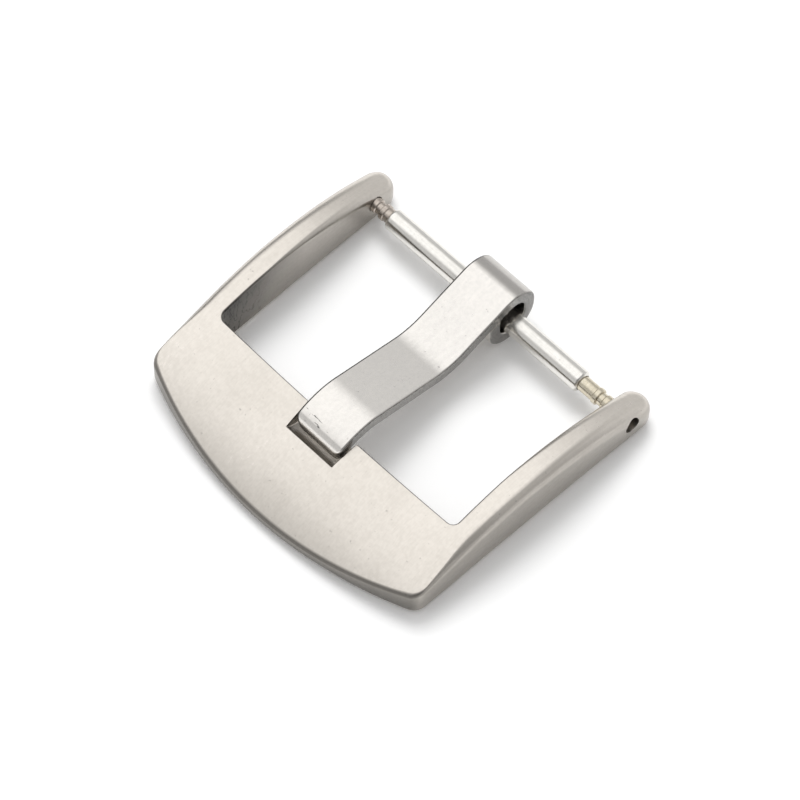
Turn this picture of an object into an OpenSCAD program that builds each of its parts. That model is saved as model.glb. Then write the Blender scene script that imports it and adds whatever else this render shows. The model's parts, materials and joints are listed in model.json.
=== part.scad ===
// Pin buckle for a watch strap, with its tongue and its sprung bar.
// Lengths in mm. X runs along the bar, Y towards the strap, Z up from the wrist side.
// The origin is under the middle of the buckle, at the lowest face.

/* [Strap gap] */
// Clear gap between the two arms, which is the strap's width
strap_w = 20; // [16:0.5:24]

/* [Frame] */
// Front edge to rear end of the arms
frame_depth = 22.15; // [19:0.5:26]
// Depth of the front bar at its middle
front_bar = 6.6; // [5:0.2:8]
// Bar axis to the rear end of each arm
lug_back = 2.1; // [1.8:0.1:2.6]
// Height of the bar axis over the wrist side
bar_height = 1.75; // [1.7:0.05:2]
// Arm thickness at the bar axis
arm_rear_t = 2; // [1.5:0.1:3]
// Arm thickness at the front bar
arm_front_t = 1.48; // [1.2:0.1:1.9]
// Height of the crown, the highest line of the frame
crown_h = 4.14; // [3.8:0.05:4.6]
// Distance of the crown in front of the bar axis
crown_fwd = 8; // [7:0.5:9]
// Radius of the arched top, seen from the side
top_r = 24; // [22:1:30]
// Radius of the curved front edge, seen from above
front_r = 28.6; // [25:1:40]
// Corner radius between the front edge and the side
corner_r = 1; // [0.6:0.1:1.4]
// Rounding of the outer top edge
edge_r = 0.7; // [0.3:0.1:1]
// Rounding under the front edge
nose_r = 0.4; // [0.2:0.1:0.6]
// Rounding of the rear end of each arm, over and under
lug_r = 0.9; // [0.6:0.1:1]
// Rise of the arched wrist side
arch_h = 0.3; // [0.1:0.05:0.5]
// Flat land under the front edge, ahead of the arch
front_land = 1.5; // [1:0.1:2]
// Corner radius at the front of the window
window_r = 0.5; // [0.2:0.1:1]
// Forward bow of the window's front edge
window_bow = 0.14; // [0.05:0.05:0.4]

/* [Notch] */
// Room in front of the tongue tip
notch_room = 0.55; // [0.4:0.05:0.9]
// Flare of each notch side in degrees
notch_flare = 3; // [1:1:10]
// Rounding of the notch mouth
mouth_r = 0.15; // [0.1:0.05:0.4]
// Radius of the curved notch floor
notch_r = 1.8; // [1.6:0.1:2.4]

/* [Tongue] */
// Width of the tongue
tongue_w = 3.75; // [3:0.05:4.5]
// Thickness of the tongue strip
tongue_t = 0.9; // [0.8:0.05:0.92]
// How far the tongue tip reaches past the window's front edge
tip_over = 1.45; // [1:0.05:1.6]
// Lean of the tip's end face in degrees
tip_lean = 11.5; // [0:0.5:20]
// Plan rounding of the tip corners
tip_r = 0.4; // [0.1:0.1:0.8]
// Fall of the tongue in front of its eye in degrees
fall_a = 18.5; // [14:0.5:20]
// Rise of the tongue towards the tip in degrees
rise_a = 14; // [10:0.5:16]
// Distance of the dip in front of the bar axis
dip_fwd = 5.3; // [4.8:0.1:6]
// Inside radius of the dip
dip_r = 4; // [2:0.5:6]
// Outer radius of the bend over the tip
tip_bend_r = 4.2; // [3.5:0.1:5]
// Length of the bend over the tip, along the buckle
tip_bend = 3.5; // [3:0.1:4]
// Inside radius of the rolled eye
eye_r = 1.05; // [0.95:0.05:1.2]
// Extra height of the eye over a round one
eye_rise = 0.35; // [0.1:0.05:0.6]
// Gap under the bar inside the eye
eye_gap = 0.06; // [0.04:0.01:0.08]
// Open seam where the strip's end meets its underside
seam = 0.06; // [0.04:0.01:0.1]

/* [Spring bar] */
// Outer diameter of the tube
tube_d = 1.48; // [1.3:0.02:1.5]
// Wall of the tube
tube_wall = 0.12; // [0.08:0.01:0.16]
// Length of the tube
tube_len = 16.4; // [12:0.2:16.6]
// Sideways place of the tube, which floats between the arms
tube_shift = -0.37; // [-0.5:0.01:0.5]
// Length of the drawn in tube ends
lip_len = 0.45; // [0.3:0.05:0.7]
// Rounding of the tube ends
tube_end_r = 0.2; // [0.1:0.05:0.3]

/* [Plungers] */
// Diameter of the plunger where it runs through the tube end
neck_d = 1; // [0.9:0.02:1.02]
// Diameter of the pin in the arm
pin_d = 1; // [0.8:0.02:1.04]
// Length of the pin
pin_len = 0.9; // [0.6:0.05:1.2]
// Diameter of the flange
flange_d = 1.12; // [1.06:0.02:1.2]
// Diameter of the groove outside the flange
groove_d = 0.86; // [0.7:0.02:0.9]
// Length of the shoulder against the arm
shoulder_len = 0.33; // [0.2:0.01:0.4]
// Length of the groove
groove_len = 0.33; // [0.2:0.01:0.4]
// Length of the flange
flange_len = 0.37; // [0.2:0.01:0.4]
// Length of the head inside the tube
head_len = 0.8; // [0.5:0.1:1.2]
// Length of the spigot that holds the coil
spigot_len = 0.5; // [0.3:0.1:1]
// Diameter of the spigot
spigot_d = 0.6; // [0.4:0.05:0.7]
// Bevel of the plunger's edges
bevel = 0.05; // [0.02:0.01:0.08]

/* [Coil spring] */
// Wire diameter
wire_d = 0.16; // [0.12:0.01:0.18]
// Number of curls
curls = 20; // [12:1:21]

/* [Fits] */
// Radial clearance of a pin in its hole
pin_gap = 0.05; // [0.03:0.01:0.08]
// Radial clearance of a neck in the tube end
neck_gap = 0.04; // [0.02:0.01:0.06]
// Radial clearance of a head or the coil in the tube
bore_gap = 0.03; // [0.02:0.01:0.05]
// End clearance of a shoulder or of the coil
end_gap = 0.02; // [0.01:0.01:0.04]
// Room between a plunger's head and the tube's drawn in end, on the tighter side
head_float = 0.13; // [0.05:0.01:0.3]
// Clearance of the tongue tip over the notch floor
tip_gap = 0.06; // [0.04:0.02:0.12]
// Clearance beside the tongue tip in the notch
tip_side_gap = 0.09; // [0.06:0.01:0.3]

/* [Hidden] */
$fn = 96;
far = 60;
steel = [0.76, 0.75, 0.72];
dark_steel = [0.6, 0.59, 0.56];
warm_steel = [0.8, 0.75, 0.6];

// Joining circles bulge past their neighbours by a hair, so that they cross cleanly
hair = 0.01;
// How far a cutting outline passes what it cuts
past = 5;
// How fast the walls' trimming disc widens, to keep its rim outside the arched top
rim_lift = 0.025;

// Places along Y
front_y = -frame_depth / 2;
bar_y = frame_depth / 2 - lug_back;
crown_y = bar_y - crown_fwd;
window_y = front_y + front_bar;
tip_y = window_y - tip_over;

// Side walls, which narrow towards the front
half_gap = strap_w / 2;
wall_x = half_gap + (arm_rear_t + arm_front_t) / 2;
wall_run = 2 * crown_fwd;
wall_a = atan((arm_rear_t - arm_front_t) / wall_run);

// Circle that makes the top, and those at the ends of the arms
top_z = crown_h - top_r;
lug_y = bar_y + lug_back - lug_r;
lug_in = lug_r - hair;
lug_z = top_z + sqrt(pow(top_r - lug_in, 2) - pow(lug_y - crown_y, 2));

// Centre of the front arc, and of the corner circle that joins it and the side wall
front_cy = front_y + front_r;
corner_in = corner_r - hair;
wall_m = tan(wall_a);
wall_b = wall_x - corner_in / cos(wall_a) - wall_m * crown_y;
quad_a = 1 + wall_m * wall_m;
quad_b = wall_m * wall_b - front_cy;
quad_c = wall_b * wall_b + front_cy * front_cy - pow(front_r - corner_in, 2);
corner_y = (-quad_b - sqrt(quad_b * quad_b - quad_a * quad_c)) / quad_a;
corner_x = wall_m * corner_y + wall_b;

// Window front arc and the circle in its corner
bow_r = (pow(half_gap, 2) + pow(window_bow, 2)) / (2 * window_bow);
bow_y = window_y + bow_r;
win_x = half_gap - window_r;
win_y = bow_y - sqrt(pow(bow_r - window_r, 2) - pow(win_x, 2));

// Underside arch, from behind the front edge to the bar axis
arch_front = front_y + front_land;
arch_half = (bar_y - arch_front) / 2;
arch_r = (pow(arch_half, 2) + pow(arch_h, 2)) / (2 * arch_h);

// Eye of the tongue: two arc centres, one over the other
tube_r = tube_d / 2;
eye_low = bar_height - tube_r - eye_gap + eye_r;
eye_top = eye_low + eye_rise;
eye_out = eye_r + tongue_t;

// Dip of the tongue: where the two slopes would cross, and the centre of its bend
dip_y = bar_y - dip_fwd;
slope_start = [bar_y - eye_out * sin(fall_a), eye_top + eye_out * cos(fall_a)];
dip_z = slope_start[1] - (slope_start[0] - dip_y) * tan(fall_a);
dip_run = dip_r * tan((fall_a + rise_a) / 2);
dip_c = [dip_y, dip_z] + dip_run * [cos(fall_a), sin(fall_a)] + dip_r * [-sin(fall_a), cos(fall_a)];

// Bend over the tip
bend_y = tip_y + tip_bend;
bend_z = dip_z + (dip_y - bend_y) * tan(rise_a);
bend_c = [bend_y - tip_bend_r * sin(rise_a), bend_z - tip_bend_r * cos(rise_a)];
tip_low_y = tip_y + tongue_t * tan(tip_lean);
tip_low_r = tip_bend_r - tongue_t;
tip_top_a = asin((bend_c[0] - tip_y) / tip_bend_r);
tip_low_a = asin((bend_c[0] - tip_low_y) / tip_low_r);
tip_low_z = bend_c[1] + tip_low_r * cos(tip_low_a);

// Notch: its floor is a cylinder that starts on the frame's top in front of the tip,
// and passes under the tip's lower edge at the tip's clearance
notch_y = tip_y - notch_room;
notch_z = top_z + sqrt(pow(top_r, 2) - pow(notch_y - crown_y, 2));
tip_step = [tip_low_y - notch_y, tip_low_z - notch_z];
tip_far = norm(tip_step);
floor_along = (pow(notch_r, 2) - pow(notch_r - tip_gap, 2) + pow(tip_far, 2)) / (2 * tip_far);
floor_up = sqrt(pow(notch_r, 2) - pow(floor_along, 2));
floor_y = notch_y + (floor_along * tip_step[0] - floor_up * tip_step[1]) / tip_far;
floor_cz = notch_z + (floor_along * tip_step[1] + floor_up * tip_step[0]) / tip_far;
flare = tan(notch_flare);
notch_x = tongue_w / 2 + tip_side_gap - notch_room * flare;
mouth_d = mouth_r / tan((90 - notch_flare) / 2);
mouth_reach = notch_x + (window_y - notch_y) * flare + mouth_d;
mouth_y = bow_y - sqrt(pow(bow_r, 2) - pow(mouth_reach, 2));
mouth_x = notch_x + (mouth_y - notch_y) * flare;
mouth_out = mouth_x + mouth_d;
mouth_in_x = mouth_x - mouth_d * sin(notch_flare);
mouth_in_y = mouth_y - mouth_d * cos(notch_flare);

// Spring bar, measured from the arms inwards
tube_bore = tube_r - tube_wall;
lip_r = neck_d / 2 + neck_gap;
head_r = tube_bore - bore_gap;
seat_x = half_gap - end_gap;
flange_x = seat_x - shoulder_len - groove_len - flange_len;
lip_x = tube_len / 2 - abs(tube_shift) - lip_len;
neck_len = flange_x - lip_x + head_float;
head_x = flange_x - neck_len - head_len;
coil_half = head_x - end_gap;
coil_r = tube_bore - bore_gap - wire_d / 2;

// Points along an arc about c from angle a0 to a1
function arc(c, r, a0, a1, n) = [
    for (i = [0:n]) let (a = a0 + (a1 - a0) * i / n) c + r * [cos(a), sin(a)]
];

// Lays a Y and Z outline across X, centred
module across(w) {
    translate([-w / 2, 0, 0])
        rotate([90, 0, 90])
            linear_extrude(w)
                children();
}

// Turns a solid of revolution from Z onto the bar axis
module on_bar() {
    translate([0, bar_y, bar_height])
        rotate([0, 90, 0])
            children();
}

// One side: the wall, and the rounded edge that follows the arched top
module side_trim() {
    translate([wall_x, crown_y, top_z])
        rotate([0, 0, -wall_a])
            rotate([0, 90, 0])
                rotate_extrude($fn = 360)
                    side_section();
}

module side_section() {
    polygon([
        [0, -far],
        [top_r + far * rim_lift, -far],
        [top_r, -edge_r],
        [top_r - edge_r, 0],
        [0, 0]
    ]);
    translate([top_r - edge_r, -edge_r])
        circle(edge_r);
}

// Front edge, rounded underneath
module front_trim() {
    translate([0, front_cy, 0])
        rotate_extrude($fn = 720)
            nose_section(front_r);
}

module nose_section(r) {
    polygon([
        [0, 0],
        [r - nose_r, 0],
        [r, nose_r],
        [r, 2 * crown_h],
        [0, 2 * crown_h]
    ]);
    translate([r - nose_r, nose_r])
        circle(nose_r);
}

// Plan between the two corner circles, and the circles
module corner_trim() {
    out = [corner_x, corner_y - front_cy] / (front_r - corner_in);
    linear_extrude(2 * crown_h)
        polygon([
            [corner_x, corner_y],
            [corner_x + past * cos(wall_a), corner_y - past * sin(wall_a)],
            [far, far],
            [-far, far],
            [-corner_x - past * cos(wall_a), corner_y - past * sin(wall_a)],
            [-corner_x, corner_y],
            [-corner_x - past * out[0], corner_y + past * out[1]],
            [corner_x + past * out[0], corner_y + past * out[1]]
        ]);
    for (side = [-1, 1])
        translate([side * corner_x, corner_y, 0])
            rotate_extrude()
                nose_section(corner_r);
}

// Side view of the arms' rear ends
module lug_outline() {
    out = [lug_y - crown_y, lug_z - top_z] / (top_r - lug_in);
    polygon([
        [front_y - past, 0],
        [lug_y, 0],
        [lug_y, lug_z],
        [lug_y + past * out[0], lug_z + past * out[1]],
        [front_y - past, 2 * crown_h]
    ]);
    translate([lug_y, lug_r])
        circle(lug_r);
    translate([lug_y, lug_r])
        square([lug_r, lug_z - lug_r]);
    translate([lug_y, lug_z])
        circle(lug_r);
}

// Window between the arms, open to the rear
module window_plan() {
    out = [win_x, win_y - bow_y] / (bow_r - window_r);
    reach = 2 * window_r;
    intersection() {
        union() {
            polygon([
                [win_x, win_y],
                [half_gap, win_y],
                [half_gap, far],
                [-half_gap, far],
                [-half_gap, win_y],
                [-win_x, win_y],
                [-win_x - reach * out[0], win_y + reach * out[1]],
                [win_x + reach * out[0], win_y + reach * out[1]]
            ]);
            for (side = [-1, 1])
                translate([side * win_x, win_y])
                    circle(window_r);
        }
        translate([0, bow_y])
            circle(bow_r, $fn = 1440);
    }
}

// Notch seen from above, with its rounded mouth
module notch_plan() {
    difference() {
        polygon([
            [-notch_x + mouth_r * flare, notch_y - mouth_r],
            [notch_x - mouth_r * flare, notch_y - mouth_r],
            [mouth_in_x, mouth_in_y],
            [mouth_out, mouth_y - mouth_r],
            [mouth_out, mouth_y + mouth_r],
            [-mouth_out, mouth_y + mouth_r],
            [-mouth_out, mouth_y - mouth_r],
            [-mouth_in_x, mouth_in_y]
        ]);
        for (side = [-1, 1])
            translate([side * mouth_out, mouth_y - mouth_r])
                circle(mouth_r + hair);
    }
}

module notch_cut() {
    intersection() {
        linear_extrude(2 * crown_h)
            notch_plan();
        union() {
            translate([-far / 2, floor_y, floor_cz])
                rotate([0, 90, 0])
                    cylinder(h = far, r = notch_r);
            translate([-far / 2, floor_y, floor_cz - notch_r])
                cube([far, far, 2 * crown_h]);
        }
    }
}

module frame() {
    color(steel)
        difference() {
            intersection() {
                translate([-far / 2, crown_y, top_z])
                    rotate([0, 90, 0])
                        cylinder(h = far, r = top_r, $fn = 360);
                across(far)
                    lug_outline();
                side_trim();
                mirror([1, 0, 0])
                    side_trim();
                front_trim();
                corner_trim();
            }
            translate([0, 0, -past])
                linear_extrude(far)
                    window_plan();
            notch_cut();
            translate([-far / 2, (arch_front + bar_y) / 2, arch_h - arch_r])
                rotate([0, 90, 0])
                    cylinder(h = far, r = arch_r, $fn = 1440);
            on_bar()
                cylinder(h = far, r = pin_d / 2 + pin_gap, center = true);
        }
}

// Side view of the strip: out along the top, round the eye, back along the underside
module strip_outline() {
    low = [bar_y, eye_low];
    high = [bar_y, eye_top];
    under = [bar_y - eye_r * sin(fall_a), eye_top + eye_r * cos(fall_a)];
    cut = under[1] - seam / cos(fall_a);
    polygon(concat(
        arc(bend_c, tip_bend_r, 90 + tip_top_a, 90 - rise_a, 14),
        arc(dip_c, dip_r, -90 - rise_a, -90 + fall_a, 8),
        arc(high, eye_out, 90 + fall_a, 0, 24),
        arc(low, eye_out, 0, -180, 40),
        [[bar_y - eye_out, cut - (under[0] - bar_y + eye_out) * tan(fall_a)]],
        [[bar_y - eye_r, cut - (under[0] - bar_y + eye_r) * tan(fall_a)]],
        arc(low, eye_r, 180, 360, 36),
        arc(high, eye_r, 0, 90 + fall_a, 22),
        arc(dip_c, dip_r + tongue_t, -90 + fall_a, -90 - rise_a, 8),
        arc(bend_c, tip_low_r, 90 - rise_a, 90 + tip_low_a, 14)
    ));
}

module tongue() {
    half = tongue_w / 2;
    color(steel)
        intersection() {
            across(tongue_w)
                strip_outline();
            linear_extrude(3 * crown_h)
                union() {
                    translate([-half, tip_y + tip_r])
                        square([tongue_w, far]);
                    translate([tip_r - half, tip_y])
                        square([tongue_w - 2 * tip_r, 2 * tip_r]);
                    for (side = [-1, 1])
                        translate([side * (half - tip_r), tip_y + tip_r])
                            circle(tip_r);
                }
        }
}

module bar_tube() {
    color(dark_steel)
        translate([tube_shift - tube_len / 2, 0, 0])
            on_bar()
                rotate_extrude()
                    difference() {
                        union() {
                            translate([0, tube_end_r])
                                square([tube_r, tube_len - 2 * tube_end_r]);
                            square([tube_r - tube_end_r, tube_len]);
                            for (z = [tube_end_r, tube_len - tube_end_r])
                                translate([tube_r - tube_end_r, z])
                                    circle(tube_end_r);
                        }
                        translate([0, lip_len])
                            square([tube_bore, tube_len - 2 * lip_len]);
                        translate([0, -past])
                            square([lip_r, tube_len + 2 * past]);
                    }
}

// Plunger with its shoulder face at Z 0 and its pin towards +Z
module plunger() {
    groove_z = -shoulder_len;
    flange_z = groove_z - groove_len;
    neck_z = flange_z - flange_len;
    head_z = neck_z - neck_len;
    end_z = head_z - head_len;
    rotate_extrude()
        polygon([
            [0, end_z - spigot_len],
            [spigot_d / 2 - bevel, end_z - spigot_len],
            [spigot_d / 2, end_z - spigot_len + bevel],
            [spigot_d / 2, end_z],
            [head_r, end_z],
            [head_r, head_z],
            [neck_d / 2, head_z],
            [neck_d / 2, neck_z],
            [flange_d / 2 - bevel, neck_z],
            [flange_d / 2, neck_z + bevel],
            [flange_d / 2, flange_z - bevel],
            [flange_d / 2 - bevel, flange_z],
            [groove_d / 2, flange_z],
            [groove_d / 2, groove_z],
            [flange_d / 2 - 2 * bevel, groove_z],
            [flange_d / 2 - bevel, groove_z + bevel],
            [flange_d / 2 - bevel, 0],
            [pin_d / 2, 0],
            [pin_d / 2, pin_len - 2 * bevel],
            [pin_d / 2 - 2 * bevel, pin_len],
            [0, pin_len]
        ]);
}

module right_plunger() {
    color(warm_steel)
        translate([seat_x, 0, 0])
            on_bar()
                plunger();
}

module left_plunger() {
    color(warm_steel)
        mirror([1, 0, 0])
            translate([seat_x, 0, 0])
                on_bar()
                    plunger();
}

// Coil: one round wire whose ring centres follow a helix about the bar axis
ring_sides = 6;
curl_rings = 8;
coil_rings = curls * curl_rings;
coil_len = 2 * coil_half - wire_d;
coil_pitch = coil_len / curls;

function coil_point(i) = let (a = 360 * i / curl_rings)
    [coil_len * (i / coil_rings - 0.5), coil_r * cos(a), coil_r * sin(a)];

// Direction of the wire at ring i
function coil_way(i) = let (
    a = 360 * i / curl_rings,
    way = [coil_pitch, -2 * PI * coil_r * sin(a), 2 * PI * coil_r * cos(a)]
) way / norm(way);

function coil_ring(i) = let (
    a = 360 * i / curl_rings,
    radial = [0, cos(a), sin(a)],
    binormal = cross(coil_way(i), radial)
) [
    for (k = [0:ring_sides - 1]) let (b = 360 * k / ring_sides)
        coil_point(i) + wire_d / 2 * (cos(b) * radial + sin(b) * binormal)
];

module coil_spring() {
    points = [for (i = [0:coil_rings]) each coil_ring(i)];
    sides = [for (i = [0:coil_rings - 1], k = [0:ring_sides - 1], half = [0, 1])
        let (a = i * ring_sides + k, b = i * ring_sides + (k + 1) % ring_sides)
        half == 0 ? [a, b, b + ring_sides] : [a, b + ring_sides, a + ring_sides]];
    first = [for (k = [1:ring_sides - 2]) [0, k + 1, k]];
    base = coil_rings * ring_sides;
    last = [for (k = [1:ring_sides - 2]) [base, base + k, base + k + 1]];
    color(dark_steel)
        translate([0, bar_y, bar_height])
            polyhedron(points, concat(sides, first, last));
}

// Least gap between the wire and itself, a curl further on
curl_steps = [for (i = [0:coil_rings - curl_rings]) coil_point(i + curl_rings) - coil_point(i)];
coil_gap = min([for (step = curl_steps) norm(step)]) - wire_d;
echo(coil_gap = coil_gap);

frame();
tongue();
bar_tube();
left_plunger();
right_plunger();
coil_spring();
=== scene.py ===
import json
from math import asin, atan2, cos, degrees, hypot, pi, radians, sin

import bmesh
import bpy
from mathutils import Matrix, Vector


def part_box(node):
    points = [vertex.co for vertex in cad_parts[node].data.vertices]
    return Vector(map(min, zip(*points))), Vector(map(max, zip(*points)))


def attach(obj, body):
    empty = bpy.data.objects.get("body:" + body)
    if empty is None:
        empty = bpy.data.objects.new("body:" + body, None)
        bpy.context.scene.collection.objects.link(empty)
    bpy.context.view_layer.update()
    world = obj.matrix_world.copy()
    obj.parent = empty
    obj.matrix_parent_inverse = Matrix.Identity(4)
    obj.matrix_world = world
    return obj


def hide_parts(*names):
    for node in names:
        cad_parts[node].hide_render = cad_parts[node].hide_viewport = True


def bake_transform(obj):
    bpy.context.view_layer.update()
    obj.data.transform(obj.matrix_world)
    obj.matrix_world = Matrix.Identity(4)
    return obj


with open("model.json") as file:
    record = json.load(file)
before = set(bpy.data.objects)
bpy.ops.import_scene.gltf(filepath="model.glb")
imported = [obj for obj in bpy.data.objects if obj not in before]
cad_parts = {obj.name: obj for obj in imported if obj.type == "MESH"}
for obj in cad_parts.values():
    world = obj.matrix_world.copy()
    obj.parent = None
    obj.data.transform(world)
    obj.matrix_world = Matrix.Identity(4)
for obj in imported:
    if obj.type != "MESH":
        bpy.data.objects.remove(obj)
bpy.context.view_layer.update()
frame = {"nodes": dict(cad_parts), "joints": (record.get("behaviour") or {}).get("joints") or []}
mm = 0.001
print("frame loaded:", ", ".join(sorted(frame["nodes"])))

# the bar axis, from the tongue's own joint
swing = next(joint for joint in frame["joints"] if joint["name"] == "tongue_swing")
barPlace = Vector(swing["pos_m"])

view = {
    "heading": 43.3, "height": 60.05, "roll": 2.31,   # degrees, seen from the front right
    "distance": 232.35, "across": -5.5, "down": -5.05,   # mm
    "lens": 169.9, "sensor": 36,
}
stage = {
    "floorSize": 3, "floorTone": 1, "floorLift": 0.04, "air": 0.25,
    # bright overhead on the left, less so elsewhere: how much, from where, from and to which nearness
    "overhead": (0.95, (-0.342, 0.05, 0.937), 0.62, 0.92), "behind": (0.4, (0, 1, 0), 0.55, 0.85),
    "ahead": (0.4, (-0.3, -0.95, 0.1), 0.65, 0.92), "right": (0.24, (0.87, 0.36, 0.34), 0.6, 0.95),
}
topBox = {"place": (-0.16, 0.12, 0.36), "size": 0.2, "radiance": 6.2}


# scene, camera and light

def makeCamera():
    a, e, roll = radians(view["heading"]), radians(view["height"]), radians(view["roll"])
    back = Vector((sin(a) * cos(e), -cos(a) * cos(e), sin(e)))
    level = Vector((cos(a), sin(a), 0))
    right = cos(roll) * level + sin(roll) * back.cross(level)
    up = back.cross(right)
    target = Vector((barPlace.x, barPlace.y, 0))
    place = target + mm * (view["distance"] * back + view["across"] * right + view["down"] * up)
    cameraData = bpy.data.cameras.new("camera")
    cameraData.lens = view["lens"]
    cameraData.sensor_width = view["sensor"]
    cameraData.clip_start = 0.005
    camera = bpy.data.objects.new("camera", cameraData)
    bpy.context.scene.collection.objects.link(camera)
    turn = Matrix((right, up, back)).transposed().to_4x4()
    camera.matrix_world = Matrix.Translation(place) @ turn
    bpy.context.scene.camera = camera


def seenDirectly(nodes, links):
    # 1 for rays from the camera, from gloss and through glass
    path = nodes.new("ShaderNodeLightPath")
    either = nodes.new("ShaderNodeMath")
    either.operation = "MAXIMUM"
    links.new(path.outputs["Is Camera Ray"], either.inputs[0])
    links.new(path.outputs["Is Glossy Ray"], either.inputs[1])
    anyRay = nodes.new("ShaderNodeMath")
    anyRay.operation = "MAXIMUM"
    links.new(either.outputs[0], anyRay.inputs[0])
    links.new(path.outputs["Is Transmission Ray"], anyRay.inputs[1])
    return anyRay.outputs[0]


def makeFloor():
    bpy.ops.mesh.primitive_plane_add(size=stage["floorSize"], location=(0, 0, 0))
    floor = bpy.context.object
    floor.name = "floor"
    material = bpy.data.materials.new("floorPaper")
    material.use_nodes = True
    nodes, links = material.node_tree.nodes, material.node_tree.links
    paper = nodes["Principled BSDF"]
    tone = stage["floorTone"]
    paper.inputs["Base Color"].default_value = (tone, tone, tone, 1)
    paper.inputs["Roughness"].default_value = 0.9
    paper.inputs["Specular IOR Level"].default_value = 0
    paper.inputs["Emission Color"].default_value = (1, 1, 1, 1)
    lift = nodes.new("ShaderNodeMath")
    lift.operation = "MULTIPLY"
    lift.inputs[1].default_value = stage["floorLift"]
    links.new(seenDirectly(nodes, links), lift.inputs[0])
    links.new(lift.outputs[0], paper.inputs["Emission Strength"])
    floor.data.materials.append(material)


def makeWorld():
    world = bpy.data.worlds.new("studio")
    bpy.context.scene.world = world
    world.use_nodes = True
    nodes, links = world.node_tree.nodes, world.node_tree.links
    air = nodes["Background"]
    place = nodes.new("ShaderNodeTexCoord")
    total = None
    for part in ("overhead", "behind", "ahead", "right"):
        strength, heading, far, near = stage[part]
        toward = nodes.new("ShaderNodeVectorMath")
        toward.operation = "DOT_PRODUCT"
        toward.inputs[1].default_value = Vector(heading).normalized()
        links.new(place.outputs["Generated"], toward.inputs[0])
        ramp = nodes.new("ShaderNodeMapRange")
        ramp.interpolation_type = "SMOOTHSTEP"
        ramp.inputs["From Min"].default_value = far
        ramp.inputs["From Max"].default_value = near
        ramp.inputs["To Max"].default_value = strength
        links.new(toward.outputs["Value"], ramp.inputs["Value"])
        add = nodes.new("ShaderNodeMath")
        add.inputs[1].default_value = stage["air"]
        if total:
            links.new(total, add.inputs[1])
        links.new(ramp.outputs["Result"], add.inputs[0])
        total = add.outputs[0]
    path = nodes.new("ShaderNodeLightPath")
    white = nodes.new("ShaderNodeMix")
    white.inputs["B"].default_value = 1
    links.new(path.outputs["Is Camera Ray"], white.inputs["Factor"])
    links.new(total, white.inputs["A"])
    links.new(white.outputs["Result"], air.inputs["Strength"])
    air.inputs["Color"].default_value = (1, 1, 1, 1)


def makeTopBox():
    # a soft box overhead on the left, kept out of the steel's reflections
    lamp = bpy.data.lights.new("topBox", "AREA")
    lamp.shape = "SQUARE"
    lamp.size = topBox["size"]
    lamp.energy = topBox["radiance"] * pi * topBox["size"] ** 2
    holder = bpy.data.objects.new("topBox", lamp)
    bpy.context.scene.collection.objects.link(holder)
    holder.location = topBox["place"]
    holder.rotation_euler = Vector(topBox["place"]).to_track_quat("Z", "Y").to_euler()
    holder.visible_glossy = False


bpy.ops.object.select_all(action="DESELECT")
makeCamera()
makeFloor()
makeWorld()
makeTopBox()
bpy.context.scene.view_settings.view_transform = "Standard"
print("camera, floor and lamp set")


# finishes

# noise scales are per metre, wallFade and bumpDepth in mm
# shares say how much each noise adds between the bright and the dull tone
texture = {
    "brushScale": 1000, "cloudScale": 260, "speckleScale": 4200, "pitScale": 3800, "grainScale": 11000,
    "scratchScale": 900, "brushShare": 0.35, "cloudShare": 0.3, "speckleShare": 0.3,
    "pitLevel": 0.70, "pitFull": 0.78, "pitTone": 0.45, "grainLevel": 0.5, "grainFull": 0.6,
    "sideFull": 0.45, "sideNone": 0.85, "frontShadeFull": -0.8, "frontShadeNone": -0.4,
    "wallFade": 0.06, "scratchRamp": 0.03, "scratchTone": 0.15, "bumpDepth": 0.02,
}
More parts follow.
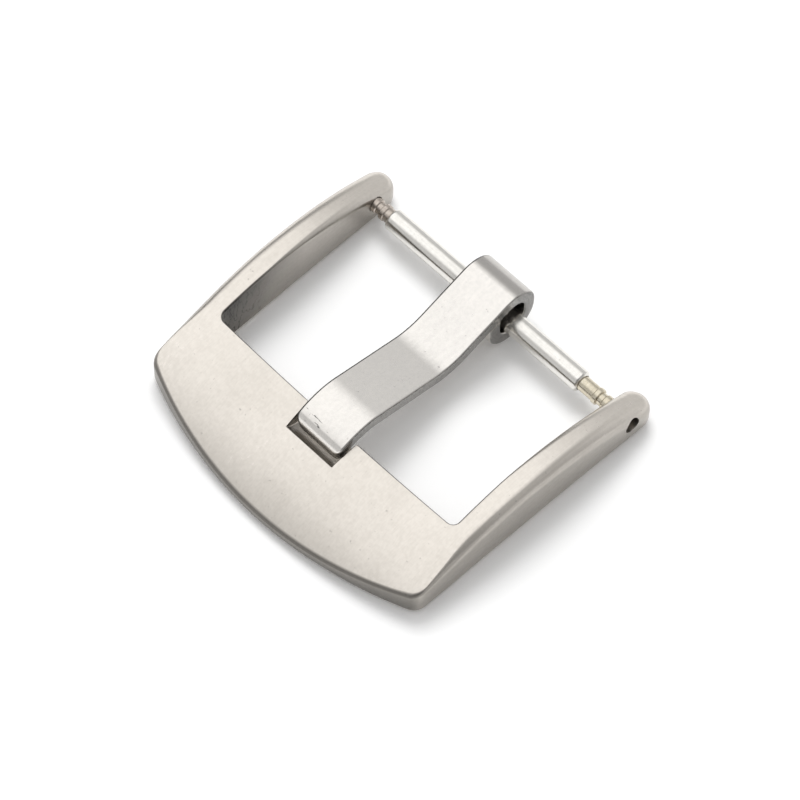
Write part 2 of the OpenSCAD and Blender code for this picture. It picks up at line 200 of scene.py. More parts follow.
# tones darken: sides (duller finish, painted shade), front and tight edges (painted shade), shade boxes and
# tool-mark boxes (middle, half, fade, tone)
steels = {
    "frameBrushed": {
        "bright": (0.81, 0.762, 0.70), "dull": (0.71, 0.665, 0.605),
        "side": 0.6, "sideAxis": "Z", "front": 0.55,
        "grain": (16, 0.55, 5), "rough": (0.27, 0.37), "bump": 0.1,
        "specks": 0.45, "edge": 0.3,
        "paintedShadeBox": ((0, -5.45, 2.5), (1.93, 1.06, 1.1), 0.06, 0.5),   # painted shade in the notch
        "marks": ((-10.02, -3.4, 1.6), (0.08, 3.4, 2.2), 3.4, 0.5),   # tool marks on the inner left wall
        "markShape": ((1, 2.2, 0.7), 0.5, 0.03),
    },
    "tongueSatin": {
        "bright": (0.84, 0.81, 0.77), "dull": (0.77, 0.745, 0.71), "side": 0.4, "sideAxis": "X", "front": 1,
        "grain": (3.5, 0.8, 3.5), "rough": (0.19, 0.29), "bump": 0.04,
        "specks": 0.6, "edge": 0.12, "sideGrain": 0.55,
        "paintedShadeBox": ((0, 10.3, 3), (3, 1.3, 3), 0.35, 0.66),   # painted shade on the back of the roll
        "marks": ((-0.5, -5.3, 3.4), (1.15, 0.28, 1), 0.1, 1),   # nicks along the tip
        "markShape": ((1.7, 9, 0.3), 0.64, 1),
    },
    "tubeTurned": {
        "bright": (0.88, 0.86, 0.82), "dull": (0.76, 0.74, 0.70), "side": 1, "sideAxis": "Z", "front": 1,
        "grain": (0.8, 14, 14), "rough": (0.14, 0.22), "bump": 0.04,
        "specks": 0.3, "edge": 1,
    },
    # painted shade: a darker copy of the plunger steel for the left plunger
    "plungerShaded": {
        "bright": (0.62, 0.56, 0.50), "dull": (0.38, 0.33, 0.29), "side": 1, "sideAxis": "Z", "front": 1,
        "grain": (20, 1.2, 1.2), "rough": (0.2, 0.34), "bump": 0.08,
        "specks": 0.7, "edge": 1,
    },
    "plungerTurned": {
        "bright": (0.76, 0.70, 0.57), "dull": (0.58, 0.52, 0.40), "side": 1, "sideAxis": "Z", "front": 1,
        "grain": (20, 1.2, 1.2), "rough": (0.2, 0.32), "bump": 0.08,
        "specks": 0.5, "edge": 1,
    },
    "springWire": {
        "bright": (0.58, 0.57, 0.55), "dull": (0.45, 0.44, 0.42), "side": 1, "sideAxis": "Z", "front": 1,
        "grain": (2, 12, 12), "rough": (0.28, 0.4), "bump": 0.05,
        "specks": 0.4, "edge": 1,
    },
}


def makeSteel(name, settings):
    t = texture
    material = bpy.data.materials.new(name)
    material.use_nodes = True
    nodes, links = material.node_tree.nodes, material.node_tree.links
    steel = nodes["Principled BSDF"]
    steel.inputs["Metallic"].default_value = 1

    def noise(size, detail, source):
        node = nodes.new("ShaderNodeTexNoise")
        node.inputs["Scale"].default_value = size
        node.inputs["Detail"].default_value = detail
        links.new(source, node.inputs["Vector"])
        return node.outputs["Fac"]

    def spread(source, low, high, lowTo, highTo):
        node = nodes.new("ShaderNodeMapRange")
        node.inputs["From Min"].default_value = low
        node.inputs["From Max"].default_value = high
        node.inputs["To Min"].default_value = lowTo
        node.inputs["To Max"].default_value = highTo
        links.new(source, node.inputs["Value"])
        return node.outputs["Result"]

    def combine(kind, first, second):
        node = nodes.new("ShaderNodeMath")
        node.operation = kind
        node.use_clamp = True
        links.new(first, node.inputs[0])
        links.new(second, node.inputs[1])
        return node.outputs[0]

    def vector(kind, first, second):
        node = nodes.new("ShaderNodeVectorMath")
        node.operation = kind
        links.new(first, node.inputs[0])
        node.inputs[1].default_value = second
        return node.outputs["Vector"]

    def insideBox(middle, half, fade):
        # 1 in the box, fading to 0 at its walls, over the length fade along Y; all in mm
        away = vector("SUBTRACT", place, [v * mm for v in middle])
        over = vector("SUBTRACT", vector("ABSOLUTE", away, (0, 0, 0)), [v * mm for v in half])
        apart = nodes.new("ShaderNodeSeparateXYZ")
        links.new(over, apart.inputs[0])
        depths = (t["wallFade"], fade, t["wallFade"])
        inner = [spread(apart.outputs[axis], -depth * mm, 0, 1, 0) for axis, depth in zip("XYZ", depths)]
        return combine("MULTIPLY", combine("MULTIPLY", inner[0], inner[1]), inner[2])

    def darken(source, tone, factor):
        node = nodes.new("ShaderNodeMix")
        node.data_type = "RGBA"
        node.blend_type = "MULTIPLY"
        node.inputs["B"].default_value = (tone, tone, tone, 1)
        links.new(factor, node.inputs["Factor"])
        links.new(source, node.inputs["A"])
        return node.outputs["Result"]

    coords = nodes.new("ShaderNodeTexCoord")
    place = coords.outputs["Object"]
    stretch = nodes.new("ShaderNodeMapping")
    stretch.inputs["Scale"].default_value = settings["grain"]
    links.new(place, stretch.inputs["Vector"])

    lines = noise(t["brushScale"], 4, stretch.outputs["Vector"])   # brush lines
    clouds = noise(t["cloudScale"], 3, place)   # slow change of tone
    speckle = noise(t["speckleScale"], 2, place)   # fine satin speckle
    dots = noise(t["pitScale"], 2, place)   # pits and dust
    pits = spread(dots, t["pitLevel"], t["pitFull"], 0, settings["specks"])
    brushed = spread(lines, 0.35, 0.65, 0, t["brushShare"])
    clouded = spread(clouds, 0.35, 0.65, 0, t["cloudShare"])
    speckled = spread(speckle, 0.4, 0.6, 0, t["speckleShare"])
    tone = combine("ADD", combine("ADD", brushed, clouded), speckled)
    colour = nodes.new("ShaderNodeMix")
    colour.data_type = "RGBA"
    colour.inputs["A"].default_value = (*settings["bright"], 1)
    colour.inputs["B"].default_value = (*settings["dull"], 1)
    links.new(tone, colour.inputs["Factor"])
    pitted = nodes.new("ShaderNodeMix")
    pitted.data_type = "RGBA"
    pitted.inputs["B"].default_value = (*[t["pitTone"] * c for c in settings["dull"]], 1)
    links.new(pits, pitted.inputs["Factor"])
    links.new(colour.outputs["Result"], pitted.inputs["A"])
    # sides are darkened by how they face: partly a duller blasted finish than the brushed top, partly painted
    # shade
    facing = nodes.new("ShaderNodeSeparateXYZ")
    links.new(coords.outputs["Normal"], facing.inputs[0])
    steep = nodes.new("ShaderNodeMath")
    steep.operation = "ABSOLUTE"
    links.new(facing.outputs[settings["sideAxis"]], steep.inputs[0])
    ends = (1, 0) if settings["sideAxis"] == "Z" else (0, 1)
    side = spread(steep.outputs[0], t["sideFull"], t["sideNone"], *ends)
    shade = darken(pitted.outputs["Result"], settings["side"], side)
    if "sideGrain" in settings:
        # cut sides are grainy
        grains = spread(noise(t["grainScale"], 2, place), t["grainLevel"], t["grainFull"], 0, 1)
        grains = combine("MULTIPLY", grains, side)
        shade = darken(shade, settings["sideGrain"], grains)
    # painted shade: faces turned towards the front are darkened
    if settings["front"] < 1:
        ahead = spread(facing.outputs["Y"], t["frontShadeFull"], t["frontShadeNone"], 1, 0)
        shade = darken(shade, settings["front"], ahead)
    if settings["edge"] < 1:
        edgeShadeAmount = nodes.new("ShaderNodeAttribute")
        edgeShadeAmount.attribute_name = "shadedEdge"
        shade = darken(shade, settings["edge"], edgeShadeAmount.outputs["Fac"])   # painted shade: a dark line along the tight edges
    # painted shade: darker inside a box
    if "paintedShadeBox" in settings:
        middle, half, fade, paintedShadeTone = settings["paintedShadeBox"]
        shade = darken(shade, paintedShadeTone, insideBox(middle, half, fade))
    if "marks" in settings:
        middle, half, fade, markTone = settings["marks"]
        stretchBy, level, width = settings["markShape"]
        marked = insideBox(middle, half, fade)
        if markTone < 1:
            marked = combine("MULTIPLY", marked, side)
        fine = nodes.new("ShaderNodeMapping")
        fine.inputs["Scale"].default_value = stretchBy
        links.new(place, fine.inputs["Vector"])
        scratches = noise(t["scratchScale"], 5, fine.outputs["Vector"])
        rising = spread(scratches, level - t["scratchRamp"], level, 0, 1)
        thin = combine("MULTIPLY", rising, spread(scratches, level, level + width, 1, 0))
        if markTone < 1:
            shade = darken(shade, markTone, marked)
        shade = darken(shade, t["scratchTone"], combine("MULTIPLY", marked, thin))
    links.new(shade, steel.inputs["Base Color"])

    roughLow, roughHigh = settings["rough"]
    links.new(spread(combine("ADD", tone, pits), 0, 1, roughLow, roughHigh), steel.inputs["Roughness"])

    bump = nodes.new("ShaderNodeBump")
    bump.inputs["Strength"].default_value = settings["bump"]
    bump.inputs["Distance"].default_value = t["bumpDepth"] * mm
    links.new(lines, bump.inputs["Height"])
    links.new(bump.outputs["Normal"], steel.inputs["Normal"])
    return material


finishes = {name: makeSteel(name, settings) for name, settings in steels.items()}
print("finishes made:", len(finishes))


# pieces

def only(piece):
    bpy.ops.object.select_all(action="DESELECT")
    piece.select_set(True)
    bpy.context.view_layer.objects.active = piece


def softenEdges(piece, widthAt, sharpest, segments):
    # every sharp edge gets its own rounding, widthAt gives it in mm from the edge's middle
    widest = 0.1   # mm, the rounding of an edge whose weight is 1
    work = bmesh.new()
    work.from_mesh(piece.data)
    weights = work.edges.layers.float.new("bevel_weight_edge")
    for edge in work.edges:
        if len(edge.link_faces) == 2 and edge.calc_face_angle() > radians(sharpest):
            middle = (edge.verts[0].co + edge.verts[1].co) / 2 / mm
            edge[weights] = widthAt(middle, edge) / widest
    work.to_mesh(piece.data)
    work.free()
    bevel = piece.modifiers.new("softEdges", "BEVEL")
    bevel.limit_method = "WEIGHT"
    bevel.width = widest * mm
    bevel.segments = segments
    bevel.use_clamp_overlap = False
    bevel.loop_slide = False
    only(piece)
    bpy.ops.object.modifier_apply(modifier=bevel.name)


def shadeEven(piece, sharpest):
    only(piece)
    bpy.ops.object.shade_smooth_by_angle(angle=radians(sharpest))
    even = piece.modifiers.new("evenShade", "WEIGHTED_NORMAL")
    even.keep_sharp = True
    bpy.ops.object.modifier_apply(modifier=even.name)


arches = {   # mm, leastFacing is a cosine
    "step": 0.01, "frontClear": 0.02, "rearClear": 0.95, "offArch": 0.004, "leastFacing": 0.7,
}


def slopeAt(height, y):
    step = arches["step"]
    return (height(y + step) - height(y - step)) / (2 * step)


def smoothArches(piece, topZ, lowZ):
    # corners that lie on the arched top or wrist side take those arches' own normals
    mesh = piece.data
    normals = [corner.vector.copy() for corner in mesh.corner_normals]
    for face in mesh.polygons:
        for corner in face.loop_indices:
            point = mesh.vertices[mesh.loops[corner].vertex_index].co / mm
            for height, up in ((topZ, 1), (lowZ, -1)):
                between = frontY + arches["frontClear"] < point.y < rearY - arches["rearClear"]
                if between and abs(point.z - height(point.y)) < arches["offArch"]:
                    ideal = Vector((0, -slopeAt(height, point.y), 1)).normalized() * up
                    if face.normal.dot(ideal) > arches["leastFacing"]:
                        normals[corner] = ideal
    mesh.normals_split_custom_set(normals)


def cutAway(piece, cutter):
    only(piece)
    cut = piece.modifiers.new("cut", "BOOLEAN")
    cut.operation = "DIFFERENCE"
    cut.solver = "EXACT"
    cut.object = cutter
    bpy.ops.object.modifier_apply(modifier=cut.name)
    bpy.data.objects.remove(cutter)


def finishPiece(piece, finish, body, slotName, *nodes):
    piece.data.materials.clear()
    piece.data.materials.append(finishes[finish])
    if nodes:
        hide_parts(*nodes)
    if body:
        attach(piece, body)


def blend(low, high, start, stop, place):
    share = min(1, max(0, (place - start) / (stop - start)))
    return low + (high - low) * share


def wrapGrid(name, rings, shadedEdges=()):
    # a grid whose rows become the rings, closed round and capped at both ends; points in mm
    # painted shade lines along tight edges are noted on the points: which places in each ring, how much, and
    # where that fades along Y
    across, along = len(rings[0]), len(rings)
    bpy.ops.object.select_all(action="DESELECT")
    bpy.ops.mesh.primitive_grid_add(x_subdivisions=across, y_subdivisions=along - 1, size=1)
    piece = bpy.context.object
    piece.name = name
    edgeShadeNote = piece.data.attributes.new("shadedEdge", "FLOAT", "POINT")
    for vertex in piece.data.vertices:
        k = round((vertex.co.x + 0.5) * across) % across
        row = round((vertex.co.y + 0.5) * (along - 1))
        vertex.co = Vector(rings[row][k]) * mm
        for tight, amount, softFrom, softTo in shadedEdges:
            if k in tight:
                edgeShadeNote.data[vertex.index].value = blend(amount, 0, softFrom, softTo, rings[row][k][1])
    bpy.ops.object.mode_set(mode="EDIT")
    bpy.ops.mesh.select_all(action="SELECT")
    bpy.ops.mesh.remove_doubles(threshold=0.0005 * mm)
    bpy.ops.mesh.select_all(action="DESELECT")
    bpy.ops.mesh.select_non_manifold()
    bpy.ops.mesh.edge_face_add()
    bpy.ops.mesh.select_all(action="SELECT")
    bpy.ops.mesh.normals_make_consistent(inside=False)
    bpy.ops.object.mode_set(mode="OBJECT")
    return piece


# frame: ribs from the outer to the inner outline, each rounded, from one arm's end round to the other's

buckle = {   # mm and degrees
    "halfGap": 10, "armRear": 2, "armFront": 1.48, "crownForward": 8, "topRadius": 24,
    "frontRadius": 28.6, "cornerRadius": 1, "lugRadius": 0.9, "lugBack": 2.1,
    "archRise": 0.3, "frontLand": 1.5, "frontBar": 6.6, "windowRadius": 0.5, "windowBow": 0.14,
    "fanStart": 8.4, "ribGap": 0.4, "lugPlanOuter": 1, "lugPlanInner": 0.95,
    "holeRadius": 0.55, "holeDepth": 6, "holeMiddle": 11, "holeSides": 48, "notchRim": 0.05,
    "fanSteps": 6, "cornerSteps": 12, "wallSteps": 10, "lugTurn": 6,   # points along the outline
    "quarterSteps": 6, "topSteps": 12, "lowSteps": 8,   # points round a rib
    "roundLimit": 0.48,   # the most of a rib's width or height that one rounding takes
    # roundings: outer top, inner top, inner low, outer low, and where along Y each kind turns into the next
    "frontRounds": (0.25, 0.13, 0.1, 0.55), "armRounds": (0.7, 0.15, 0.1, 0.28),
    "lugRounds": (0.95, 0.75, 0.45, 0.6), "frontToArm": (-9.2, -6), "armToLug": (0, 9.5),
    # painted shade, dark lines along the tight edges: places in the ring, amount, and where along Y they fade
    "shadedEdges": ((range(20, 25), 1, -1, 3), (range(2, 5), 0.55, -7, -1)),
}
notch = {
    "tongueWidth": 3.75, "sideGap": 0.09, "tipOver": 1.45, "room": 0.55, "flare": 3,
    "mouthRadius": 0.15, "floorRadius": 1.8, "floorZ": 2.234,
    "before": 0.3, "after": 0.5, "sliceGap": 0.1, "above": 6,   # the cutter: overreach, slices, top
    "rimWide": 2.6, "rimLow": 1.9, "rimBehind": 2.2, "rimAhead": 0.02,   # where the notch's own edges lie
}

lowCorner, highCorner = (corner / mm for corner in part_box("frame"))
frontY, rearY, crownZ = lowCorner.y, highCorner.y, highCorner.z
barY, barZ = barPlace.y / mm, barPlace.z / mm
crownY = barY - buckle["crownForward"]
topCentre = crownZ - buckle["topRadius"]
windowY = frontY + buckle["frontBar"]


def arcPoints(centre, radius, start, stop, steps):
    # degrees, from +X towards +Y
    turns = [radians(start + (stop - start) * k / steps) for k in range(steps + 1)]
    return [(centre[0] + radius * cos(a), centre[1] + radius * sin(a)) for a in turns]


def archTop(y):
    return topCentre + (buckle["topRadius"] ** 2 - (y - crownY) ** 2) ** 0.5


def topAt(y):
    r = buckle["lugRadius"]
    lugY = rearY - r
    lugZ = topCentre + ((buckle["topRadius"] - r) ** 2 - (lugY - crownY) ** 2) ** 0.5
    joinY = lugY + r * (lugY - crownY) / (buckle["topRadius"] - r)
    if y < joinY:
        return archTop(y)
    return lugZ + max(0, r * r - (y - lugY) ** 2) ** 0.5


def lowAt(y):
    r = buckle["lugRadius"]
    lugY = rearY - r
    if y > lugY:
        return r - max(0, r * r - (y - lugY) ** 2) ** 0.5
    archFront = frontY + buckle["frontLand"]
    half = (barY - archFront) / 2
    archRadius = (half ** 2 + buckle["archRise"] ** 2) / (2 * buckle["archRise"])
    offCentre = abs(y - archFront - half)
    if offCentre > half:
        return 0
    return buckle["archRise"] - archRadius + (archRadius ** 2 - offCentre ** 2) ** 0.5


def ribEnds():
    # outer and inner end of each rib on the right half, from the middle of the front to the arm's end
    b = buckle
    wallX = b["halfGap"] + (b["armRear"] + b["armFront"]) / 2
    slope = (b["armRear"] - b["armFront"]) / (2 * b["crownForward"])
    lean = degrees(atan2(slope, 1))
    frontCentre = frontY + b["frontRadius"]
    r = b["cornerRadius"]
    # centre of the front corner: r inside both the side wall and the front arc
    inside = wallX - r / cos(radians(lean)) - slope * crownY
    qa = 1 + slope ** 2
    qb = slope * inside - frontCentre
    qc = inside ** 2 + frontCentre ** 2 - (b["frontRadius"] - r) ** 2
    cornerY = (-qb - (qb ** 2 - qa * qc) ** 0.5) / qa
    cornerX = slope * cornerY + inside
    joinAngle = degrees(atan2(cornerY - frontCentre, cornerX))
    bow = (b["halfGap"] ** 2 + b["windowBow"] ** 2) / (2 * b["windowBow"])
    winX = b["halfGap"] - b["windowRadius"]
    winY = windowY + bow - ((bow - b["windowRadius"]) ** 2 - winX ** 2) ** 0.5
    winAngle = degrees(atan2(winY - windowY - bow, winX))

    ends = []
    innerEnd = bow * cos(radians(winAngle))
    count = round(innerEnd / b["ribGap"])
    for k in range(count):
        innerX, outerX = innerEnd * k / count, b["fanStart"] * k / count
        ends.append((
            (outerX, frontCentre - (b["frontRadius"] ** 2 - outerX ** 2) ** 0.5),
            (innerX, windowY + bow - (bow ** 2 - innerX ** 2) ** 0.5)))
    # the fan round the front corner
    startAngle = degrees(asin(b["fanStart"] / b["frontRadius"])) - 90
    outer = arcPoints((0, frontCentre), b["frontRadius"], startAngle, joinAngle, b["fanSteps"])[:-1]
    outer += arcPoints((cornerX, cornerY), r, joinAngle, -lean, b["cornerSteps"])
    wallEnd = (wallX + slope * (winY - crownY), winY)
    wallStart = outer[-1]
    for k in range(1, b["wallSteps"] + 1):
        outer.append(tuple(a + (c - a) * k / b["wallSteps"] for a, c in zip(wallStart, wallEnd)))
    walked = [0]
    for here, there in zip(outer, outer[1:]):
        walked.append(walked[-1] + hypot(there[0] - here[0], there[1] - here[1]))
    for place, far in zip(outer, walked):
        turn = radians(winAngle * (1 - far / walked[-1]))
        ends.append((place, (winX + b["windowRadius"] * cos(turn), winY + b["windowRadius"] * sin(turn))))
    # the arm and its round end
    lugY = rearY - b["lugRadius"]
    count = round((lugY - winY) / b["ribGap"])
    heights = [winY + (lugY - winY) * k / count for k in range(1, count)]
    heights += [lugY + b["lugRadius"] * sin(radians(turn)) for turn in range(0, 91, b["lugTurn"])]
    for y in heights:
        sides = [wallX + slope * (y - crownY), b["halfGap"]]
        for side, (way, r) in enumerate(((-1, b["lugPlanOuter"]), (1, b["lugPlanInner"]))):
            past = max(0, y - rearY + r)
            sides[side] += way * (r - (r * r - past * past) ** 0.5)
        ends.append(((sides[0], y), (sides[1], y)))
    return ends


def ribRing(outer, inner, rounds):
    # points round one rib, which is pulled up and down to the arches
    b = buckle
    (outerX, outerY), (innerX, innerY) = outer, inner
    length = hypot(innerX - outerX, innerY - outerY)
    height = min(topAt(y) - lowAt(y) for y in (outerY, innerY))
    outerTop, innerTop, innerLow, outerLow = [min(r, b["roundLimit"] * min(length, height)) for r in rounds]

    def at(along, over, drop):
        x = outerX + (innerX - outerX) * along / length
        y = outerY + (innerY - outerY) * along / length
        return (x, y, topAt(y) - drop if over else lowAt(y) + drop)

    points = []
    quarter = [radians(90 * k / b["quarterSteps"]) for k in range(b["quarterSteps"] + 1)]
    topSteps, lowSteps = b["topSteps"], b["lowSteps"]
    points += [at(outerTop * (1 - cos(a)), True, outerTop * (1 - sin(a))) for a in quarter]
    points += [at(blend(outerTop, length - innerTop, 0, topSteps, k), True, 0) for k in range(1, topSteps)]
    points += [at(length - innerTop * (1 - cos(a)), True, innerTop * (1 - sin(a))) for a in reversed(quarter)]
    points += [at(length - innerLow * (1 - cos(a)), False, innerLow * (1 - sin(a))) for a in quarter]
    points += [at(blend(length - innerLow, outerLow, 0, lowSteps, k), False, 0) for k in range(1, lowSteps)]
    points += [at(outerLow * (1 - cos(a)), False, outerLow * (1 - sin(a))) for a in reversed(quarter)]
    return points


def frameRings():
    b = buckle
    rings = []
    for outer, inner in ribEnds():
        rounds = []
        for front, arm, lug in zip(b["frontRounds"], b["armRounds"], b["lugRounds"]):
            r = blend(front, arm, *b["frontToArm"], outer[1])
            rounds.append(blend(r, lug, *b["armToLug"], inner[1]))
        rings.append(ribRing(outer, inner, rounds))
    left = [[(-x, y, z) for x, y, z in ring] for ring in rings[:0:-1]]
    return left + rings


def plateFromOutline(name, outline, slices, topZ, lowAtY):
    # a plate from the outline, sliced along Y so that its low side can follow lowAtY; in mm
    bpy.ops.object.select_all(action="DESELECT")
    bpy.ops.mesh.primitive_circle_add(vertices=len(outline), radius=0.01, fill_type="NGON")
    plate = bpy.context.object
    plate.name = name
    for vertex, (x, y) in zip(plate.data.vertices, outline):
        vertex.co = Vector((x, y, 0)) * mm
    bpy.ops.object.mode_set(mode="EDIT")
    for y in slices:
        bpy.ops.mesh.select_all(action="SELECT")
        bpy.ops.mesh.bisect(plane_co=(0, y * mm, 0), plane_no=(0, 1, 0), threshold=0.002 * mm)
    bpy.ops.mesh.select_all(action="SELECT")
    bpy.ops.mesh.extrude_region_move(TRANSFORM_OT_translate={"value": (0, 0, topZ * mm)})
    bpy.ops.mesh.select_all(action="SELECT")
    bpy.ops.mesh.normals_make_consistent(inside=False)
    bpy.ops.object.mode_set(mode="OBJECT")
    for vertex in plate.data.vertices:
        if vertex.co.z < topZ * mm / 2:
            vertex.co.z = lowAtY(vertex.co.y / mm) * mm
    return plate


def notchCutter():
    n = notch
    tipY = windowY - n["tipOver"]
    startY = tipY - n["room"]
    flare = sin(radians(n["flare"])) / cos(radians(n["flare"]))
    startX = n["tongueWidth"] / 2 + n["sideGap"] - n["room"] * flare
    mouthX = startX + (windowY - startY) * flare
    r = n["mouthRadius"]
    lead = r / (sin(radians(45 - n["flare"] / 2)) / cos(radians(45 - n["flare"] / 2)))
    before = n["before"]
    right = [(startX - before * flare, startY - before)]
    right += arcPoints((mouthX + lead, windowY - r), r, 180 - n["flare"], 90, 6)
    right += [(mouthX + lead, windowY + n["after"])]
    left = [(-x, y) for x, y in reversed(right)]
    startZ = archTop(startY)
    # the floor's arc starts on the top and runs down to level under the tongue's tip
    floorZ = n["floorZ"]
    floorY = startY + (n["floorRadius"] ** 2 - (startZ - floorZ - n["floorRadius"]) ** 2) ** 0.5

    def floorAt(y):
        if y > floorY:
            return floorZ
        return floorZ + n["floorRadius"] - (n["floorRadius"] ** 2 - (y - floorY) ** 2) ** 0.5

    slices = [startY - before + n["sliceGap"] * k for k in range(1, 18)]
    return plateFromOutline("notchCutter", right + left, slices, n["above"], floorAt)


def notchRimWidth(middle, edge):
    n = notch
    along = windowY - n["rimBehind"] < middle.y < windowY + n["rimAhead"]
    return buckle["notchRim"] if along and abs(middle.x) < n["rimWide"] and middle.z > n["rimLow"] else 0


steelFrame = wrapGrid("buckleFrame", frameRings(), buckle["shadedEdges"])
cutAway(steelFrame, notchCutter())
softenEdges(steelFrame, notchRimWidth, 40, 2)
for side in (-1, 1):
    bpy.ops.object.select_all(action="DESELECT")
    bpy.ops.mesh.primitive_cylinder_add(
        vertices=buckle["holeSides"], radius=buckle["holeRadius"] * mm, depth=buckle["holeDepth"] * mm,
        location=(side * buckle["holeMiddle"] * mm, barPlace.y, barPlace.z), rotation=(0, pi / 2, 0))
    cutAway(steelFrame, bpy.context.object)
shadeEven(steelFrame, 34)
smoothArches(steelFrame, topAt, lowAt)
finishPiece(steelFrame, "frameBrushed", "frame", "frame_steel", "frame")
print("frame shaped:", len(steelFrame.data.polygons), "faces")


# tongue: pairs of points over and under the strip, from the tip to the seam under the eye

strip = {   # mm and degrees
    "width": 3.75, "thick": 0.9, "tipOver": 1.45, "tipLean": 11.5, "tipCorner": 0.6, "tipDrop": 0.42,
    "fall": 18.5, "rise": 14, "dipForward": 5.3, "dipRadius": 4, "bendRadius": 4.2, "bendLength": 3.5,
    "eyeRadius": 1.05, "eyeRise": 0.35, "eyeGap": 0.06, "seam": 0.06, "tubeRadius": 0.74,
    # painted shade: a dark line along the tongue's left top edge
    "topRound": 0.14, "lowRound": 0.1, "shadedEdges": ((range(18, 23), 1, 20, 21),),
    "lowDrop": 0.2,   # the share of the tip's drop that its low side takes
    "nearTurn": 10, "bendSteps": 10, "dipSteps": 10, "overSteps": 18, "underSteps": 28, "cornerSteps": 5,
}


def stripPairs():
    t = strip
    rise, fall = radians(t["rise"]), radians(t["fall"])
    thick, outer = t["thick"], t["eyeRadius"] + t["thick"]
    eyeLow = barZ - t["tubeRadius"] - t["eyeGap"] + t["eyeRadius"]
    eyeHigh = eyeLow + t["eyeRise"]
    tipY = windowY - t["tipOver"]
    dipY = barY - t["dipForward"]
    startY, startZ = barY - outer * sin(fall), eyeHigh + outer * cos(fall)
    dipZ = startZ - (startY - dipY) * sin(fall) / cos(fall)
    half = (rise + fall) / 2
    run = t["dipRadius"] * sin(half) / cos(half)
    dipCentre = (
        dipY + run * cos(fall) - t["dipRadius"] * sin(fall),
        dipZ + run * sin(fall) + t["dipRadius"] * cos(fall))
    bendY = tipY + t["bendLength"]
    bendZ = dipZ + (dipY - bendY) * sin(rise) / cos(rise)
    bendCentre = (bendY - t["bendRadius"] * sin(rise), bendZ - t["bendRadius"] * cos(rise))
    lean = radians(t["tipLean"])
    lowY = tipY + thick * sin(lean) / cos(lean)
    topEnd = degrees(asin((bendCentre[0] - tipY) / t["bendRadius"]))
    lowEnd = degrees(asin((bendCentre[0] - lowY) / (t["bendRadius"] - thick)))

    def pair(centre, topRadius, lowRadius, topAngle, lowAngle):
        return [
            (centre[0] + r * cos(radians(a)), centre[1] + r * sin(radians(a)))
            for r, a in ((topRadius, topAngle), (lowRadius, lowAngle))]

    pairs = []
    reach = t["tipCorner"] / (t["bendRadius"] * radians(topEnd + t["rise"]))
    near = [reach * (1 - cos(radians(turn))) for turn in range(0, 91, t["nearTurn"])]
    for f in near + [reach + (1 - reach) * k / t["bendSteps"] for k in range(1, t["bendSteps"] + 1)]:
        topAngle = topEnd - (topEnd + t["rise"]) * f
        lowAngle = lowEnd - (lowEnd + t["rise"]) * f
        pairs.append(pair(bendCentre, t["bendRadius"], t["bendRadius"] - thick, 90 + topAngle, 90 + lowAngle))
    for k in range(t["dipSteps"] + 1):
        a = -90 - t["rise"] + (t["rise"] + t["fall"]) * k / t["dipSteps"]
        pairs.append(pair(dipCentre, t["dipRadius"], t["dipRadius"] + thick, a, a))
    for k in range(t["overSteps"] + 1):
        a = 90 + t["fall"] - (90 + t["fall"]) * k / t["overSteps"]
        pairs.append(pair((barY, eyeHigh), outer, t["eyeRadius"], a, a))
    for k in range(t["underSteps"] + 1):
        a = -180 * k / t["underSteps"]
        pairs.append(pair((barY, eyeLow), outer, t["eyeRadius"], a, a))
    underY, underZ = barY - t["eyeRadius"] * sin(fall), eyeHigh + t["eyeRadius"] * cos(fall)
    cut = underZ - t["seam"] / cos(fall)
    slope = sin(fall) / cos(fall)
    pairs.append([
        (barY - outer, cut - (underY - barY + outer) * slope),
        (barY - t["eyeRadius"], cut - (underY - barY + t["eyeRadius"]) * slope)])
    return pairs


def roundedSection(halfWide, top, low, topRound, lowRound):
    # a rounded rectangle between the two points, 0 across at the middle of its top
    (topY, topZ), (lowY, lowZ) = top, low
    thick = hypot(topY - lowY, topZ - lowZ)
    upY, upZ = (topY - lowY) / thick, (topZ - lowZ) / thick
    corners = (
        (1, thick - topRound, topRound, 90), (1, lowRound, lowRound, 0),
        (-1, lowRound, lowRound, -90), (-1, thick - topRound, topRound, -180))
    points = []
    for side, height, r, start in corners:
        for k in range(strip["cornerSteps"] + 1):
            a = radians(start - 90 * k / strip["cornerSteps"])
            x = side * (halfWide - r) + r * cos(a)
            h = height + r * sin(a)
            points.append((x, lowY + h * upY, lowZ + h * upZ))
    return points


def tongueRings():
    t = strip
    pairs = stripPairs()
    tip = pairs[0][0]
    rings = []
    for top, low in pairs:
        away = hypot(top[0] - tip[0], top[1] - tip[1])
        inCorner = max(0, t["tipCorner"] - away)
        halfWide = t["width"] / 2 - t["tipCorner"] + (t["tipCorner"] ** 2 - inCorner ** 2) ** 0.5
        inset = t["tipDrop"] * (1 - (1 - (inCorner / t["tipCorner"]) ** 2) ** 0.5)
        thick = hypot(top[0] - low[0], top[1] - low[1])
        share = inset / thick
        newTop = [a + (b - a) * share for a, b in zip(top, low)]
        newLow = [b + (a - b) * share * t["lowDrop"] for a, b in zip(top, low)]
        rings.append(roundedSection(halfWide, newTop, newLow, t["topRound"], t["lowRound"]))
    return rings


tongueStrip = wrapGrid("tongueStrip", tongueRings(), strip["shadedEdges"])
shadeEven(tongueStrip, 50)
finishPiece(tongueStrip, "tongueSatin", "tongue", "tongue_steel", "tongue")
print("tongue shaped:", len(tongueStrip.data.polygons), "faces")


# spring bar: turned shapes, from profiles of place along X and radius

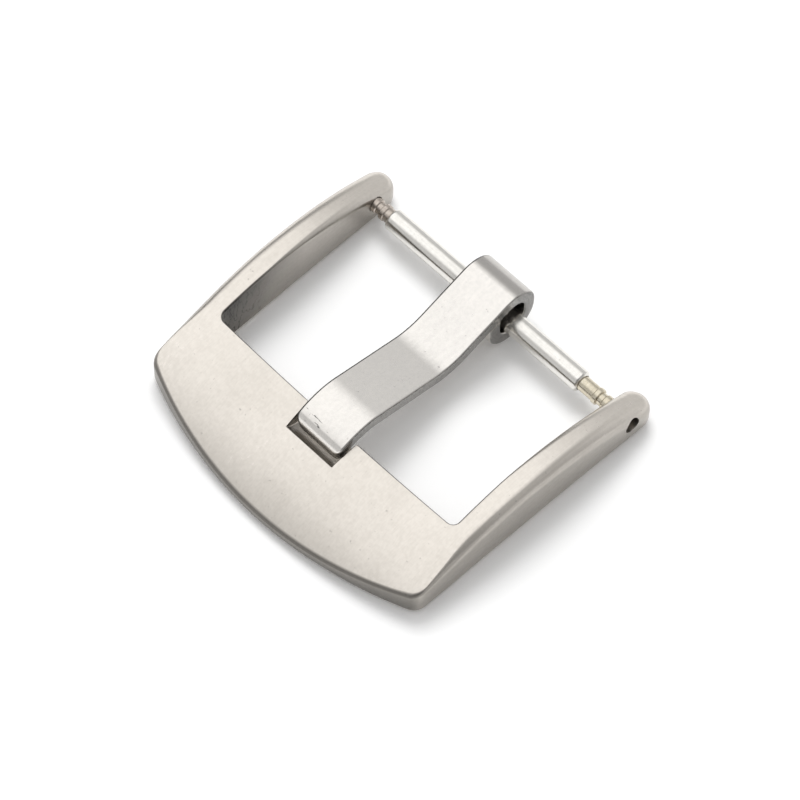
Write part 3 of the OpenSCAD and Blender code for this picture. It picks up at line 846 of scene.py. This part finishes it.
tube = {"wall": 0.12, "endRound": 0.2, "endTurn": 15, "lip": 0.45, "lipRadius": 0.54}
plunger = {
    "shoulder": 0.33, "groove": 0.33, "flange": 0.37, "head": 0.8, "spigot": 0.5,
    "neckRadius": 0.5, "flangeRadius": 0.56, "grooveRadius": 0.43, "pinRadius": 0.5, "spigotRadius": 0.3,
    "bevel": 0.05, "pin": 0.9, "boreGap": 0.03, "sides": 72,
}


def turnedPiece(name, profile):
    turns = [2 * pi * k / plunger["sides"] for k in range(plunger["sides"])]
    return wrapGrid(name, [[(x, barY + r * cos(a), barZ + r * sin(a)) for a in turns] for x, r in profile])


def tubeProfile():
    low, high = (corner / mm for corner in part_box("bar_tube"))
    radius = strip["tubeRadius"]
    r = tube["endRound"]
    turns = [radians(turn) for turn in range(0, 91, tube["endTurn"])]
    left = [(low.x + r - r * cos(a), radius - r + r * sin(a)) for a in turns]
    right = [(low.x + high.x - x, y) for x, y in reversed(left)]
    bore = radius - tube["wall"]
    inside = [
        (high.x, tube["lipRadius"]), (high.x - tube["lip"], tube["lipRadius"]), (high.x - tube["lip"], bore),
        (low.x + tube["lip"], bore), (low.x + tube["lip"], tube["lipRadius"]), (low.x, tube["lipRadius"])]
    return left + right + inside + left[:1]


def plungerProfile(node, side):
    p = plunger
    low, high = (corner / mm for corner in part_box(node))
    pinEnd = high.x if side > 0 else -low.x
    innerEnd = low.x if side > 0 else -high.x
    seat = pinEnd - p["pin"]
    groove = seat - p["shoulder"]
    flange = groove - p["groove"]
    neck = flange - p["flange"]
    headEnd = innerEnd + p["spigot"]
    head = headEnd + p["head"]
    b = p["bevel"]
    headRadius = strip["tubeRadius"] - tube["wall"] - p["boreGap"]
    pin, rim, spigot = p["pinRadius"], p["flangeRadius"], p["spigotRadius"]
    points = [
        (pinEnd, 0), (pinEnd, pin - 2 * b), (pinEnd - 2 * b, pin), (seat, pin), (seat, rim - b),
        (groove + b, rim - b), (groove, rim - 2 * b), (groove, p["grooveRadius"]),
        (flange, p["grooveRadius"]), (flange, rim - b), (flange - b, rim),
        (neck + b, rim), (neck, rim - b), (neck, p["neckRadius"]),
        (head, p["neckRadius"]), (head, headRadius), (headEnd, headRadius), (headEnd, spigot),
        (innerEnd + b, spigot), (innerEnd, spigot - b), (innerEnd, 0)]
    return [(side * x, radius) for x, radius in points]


barTube = turnedPiece("barTube", tubeProfile())
shadeEven(barTube, 40)
finishPiece(barTube, "tubeTurned", "bar_tube", "bar_steel", "bar_tube")
for side, word in ((-1, "left"), (1, "right")):
    node = word + "_plunger"
    plungerPiece = turnedPiece(word + "Plunger", plungerProfile(node, side))
    shadeEven(plungerPiece, 40)
    # the left plunger takes the copy with painted shade
    finish = "plungerShaded" if side < 0 else "plungerTurned"
    finishPiece(plungerPiece, finish, node, "plunger_steel", node)


# spring: one helix in two halves that meet at the middle

spring = {"curls": 10, "curlSteps": 24, "wireRadius": 0.08, "wireSides": 10, "seam": 0.001}


def springHalf(name, side):
    s = spring
    low, high = (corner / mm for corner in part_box("coil_spring"))
    reach = high.x - s["wireRadius"]
    coilRadius = (high.z - low.z) / 2 - s["wireRadius"]
    pitch = reach / s["curls"]
    steps = s["curls"] * s["curlSteps"]
    rings = []
    for i in range(steps + 1):
        x = side * (s["seam"] + (reach - s["seam"]) * i / steps)
        a = 2 * pi * x / pitch
        out = Vector((0, cos(a), sin(a)))
        along = Vector((pitch / (2 * pi), -coilRadius * sin(a), coilRadius * cos(a))).normalized()
        over = along.cross(out)
        centre = Vector((x, barY, barZ)) + coilRadius * out
        turns = [2 * pi * k / s["wireSides"] for k in range(s["wireSides"])]
        rings.append([centre + s["wireRadius"] * (cos(b) * out + sin(b) * over) for b in turns])
    return wrapGrid(name, rings)


for side, word in ((-1, "left"), (1, "right")):
    half = springHalf(word + "Spring", side)
    shadeEven(half, 40)
    finishPiece(half, "springWire", None, "spring_steel", "coil_spring")
    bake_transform(half)
print("spring bar finished")
